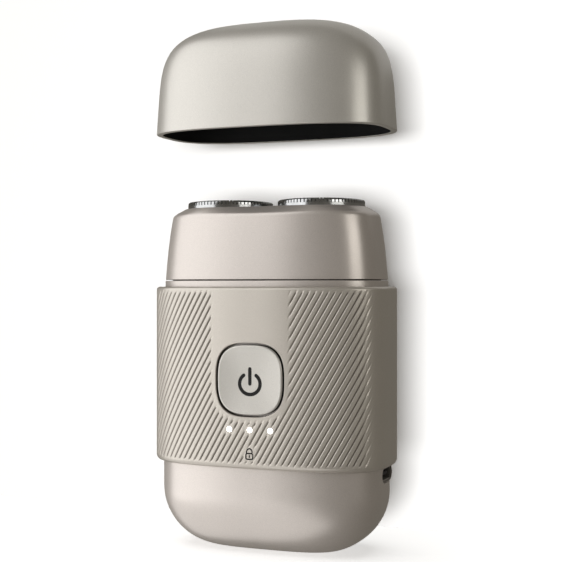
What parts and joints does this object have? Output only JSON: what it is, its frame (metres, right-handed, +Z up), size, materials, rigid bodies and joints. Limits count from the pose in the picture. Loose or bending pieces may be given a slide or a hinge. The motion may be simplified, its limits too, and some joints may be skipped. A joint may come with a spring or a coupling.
{
  "type": "electric shaver",
  "caption": "Compact rotary shaver with floating round heads, pull-off head unit, grooved grip band, push button, charging port and domed lift-off cap.",
  "frame": {"origin": "centre of the flat foot the shaver stands on", "axes": "+Z up through the shaving heads and the cap, -Y out of the front with the power button, +X towards the charging side"},
  "size_m": [0.0618, 0.0336, 0.1325],
  "materials": {
    "champagne_lacquer": "satin metallic champagne lacquer on moulded ABS",
    "band_lacquer": "satin metallic taupe lacquer with fine diagonal grooves",
    "neck_plastic": "moulded, lacquered",
    "liner_plastic": "black moulded, fine grain",
    "symbol_ink": "dark inlaid ink",
    "clear_plastic": "clear light guide",
    "lamp": "white lamp",
    "seal_rubber": "moulded silicone",
    "screw_steel": "bright steel",
    "frame_plastic": "glass-filled plastic",
    "motor_steel": "drawn steel",
    "magnet": "ferrite",
    "bronze": "sintered bronze and brass",
    "black_plastic": "black moulded",
    "battery_wrap": "shrink wrap",
    "board_green": "solder mask",
    "copper": "enamelled copper windings on a steel core",
    "gear_plastic": "natural acetal",
    "shaving_steel": "polished stainless steel with cut slots",
    "trim_metal": "satin anodised"
  },
  "bodies": {
    "body": {"casing": "champagne_lacquer", "grip_band": "band_lacquer", "lock_symbol": "symbol_ink", "light_pipes": "clear_plastic", "top_deck": "neck_plastic", "deck_gasket": "seal_rubber", "deck_screws": "screw_steel", "spindle_seals": "seal_rubber", "gear_plate": "frame_plastic", "gear_axles": "screw_steel", "motor_can": "motor_steel", "motor_magnets": "magnet", "motor_bushing": "bronze", "motor_end_cap": "black_plastic", "motor_screws": "screw_steel", "chassis": "frame_plastic", "battery": "battery_wrap", "battery_tabs": "screw_steel", "circuit_board": "board_green", "board_screws": "screw_steel", "tact_switch": "black_plastic", "status_leds": "lamp", "button_seal": "seal_rubber", "port_board": "board_green", "port_shell": "screw_steel", "port_tongue": "black_plastic", "port_gasket": "seal_rubber"},
    "power_button": {"power_button": "champagne_lacquer", "power_symbol": "symbol_ink"},
    "rotor": {"motor_shaft": "screw_steel", "motor_armature": "copper", "drive_pinion": "bronze"},
    "gear_left": {"drive_gear_left": "gear_plastic", "spindle_spring_left": "screw_steel"},
    "spindle_left": {"spindle_left": "black_plastic"},
    "gear_right": {"drive_gear_right": "gear_plastic", "spindle_spring_right": "screw_steel"},
    "spindle_right": {"spindle_right": "black_plastic"},
    "head_unit": {"head_cover": "champagne_lacquer", "retaining_frame": "frame_plastic"},
    "head_left": {"guard_left": "shaving_steel", "head_trim_left": "trim_metal", "guard_holder_left": "frame_plastic"},
    "cutter_left": {"cutter_carrier_left": "black_plastic", "cutter_blades_left": "shaving_steel"},
    "head_right": {"guard_right": "shaving_steel", "head_trim_right": "trim_metal", "guard_holder_right": "frame_plastic"},
    "cutter_right": {"cutter_carrier_right": "black_plastic", "cutter_blades_right": "shaving_steel"},
    "cap": {"cap_shell": "champagne_lacquer", "cap_liner": "liner_plastic"}
  },
  "joints": [
    {"name": "head_pull_off", "type": "slide", "parent": "body", "child": "head_unit", "axis": [0, 0, 1], "range_m": [0, 0.02]},
    {"name": "cap_lift_off", "type": "slide", "parent": "head_unit", "child": "cap", "axis": [0, 0, 1], "range_m": [-0.0388, 0]},
    {"name": "button_press", "type": "slide", "parent": "body", "child": "power_button", "axis": [0, 1, 0], "range_m": [0, 0.0008], "stiffness_N_per_m": 2000, "springref_m": -0.0004},
    {"name": "rotor_spin", "type": "hinge", "parent": "body", "child": "rotor", "pos_m": [0, 0, 0.05], "axis": [0, 0, 1], "continuous": true},
    {"name": "float_left", "type": "slide", "parent": "head_unit", "child": "head_left", "axis": [0, 0, 1], "range_m": [-0.0012, 0], "stiffness_N_per_m": 900, "springref_m": 0.0008},
    {"name": "cutter_spin_left", "type": "hinge", "parent": "head_left", "child": "cutter_left", "pos_m": [-0.0125, 0, 0.084], "axis": [0, 0, 1], "continuous": true},
    {"name": "gear_spin_left", "type": "hinge", "parent": "body", "child": "gear_left", "pos_m": [-0.0125, 0, 0.0618], "axis": [0, 0, 1], "continuous": true},
    {"name": "spindle_press_left", "type": "slide", "parent": "gear_left", "child": "spindle_left", "axis": [0, 0, 1], "range_m": [-0.0012, 0], "deforming": ["spindle_spring_left"]},
    {"name": "float_right", "type": "slide", "parent": "head_unit", "child": "head_right", "axis": [0, 0, 1], "range_m": [-0.0012, 0], "stiffness_N_per_m": 900, "springref_m": 0.0008},
    {"name": "cutter_spin_right", "type": "hinge", "parent": "head_right", "child": "cutter_right", "pos_m": [0.0125, 0, 0.084], "axis": [0, 0, 1], "continuous": true},
    {"name": "gear_spin_right", "type": "hinge", "parent": "body", "child": "gear_right", "pos_m": [0.0125, 0, 0.0618], "axis": [0, 0, 1], "continuous": true},
    {"name": "spindle_press_right", "type": "slide", "parent": "gear_right", "child": "spindle_right", "axis": [0, 0, 1], "range_m": [-0.0012, 0], "deforming": ["spindle_spring_right"]}
  ],
  "couplings": [
    {"joint": "gear_spin_left", "follows": "rotor_spin", "ratio": -0.31579},
    {"joint": "cutter_spin_left", "follows": "rotor_spin", "ratio": -0.31579},
    {"joint": "spindle_press_left", "follows": "float_left", "ratio": 1},
    {"joint": "gear_spin_right", "follows": "rotor_spin", "ratio": -0.31579},
    {"joint": "cutter_spin_right", "follows": "rotor_spin", "ratio": -0.31579},
    {"joint": "spindle_press_right", "follows": "float_right", "ratio": 1}
  ]
}
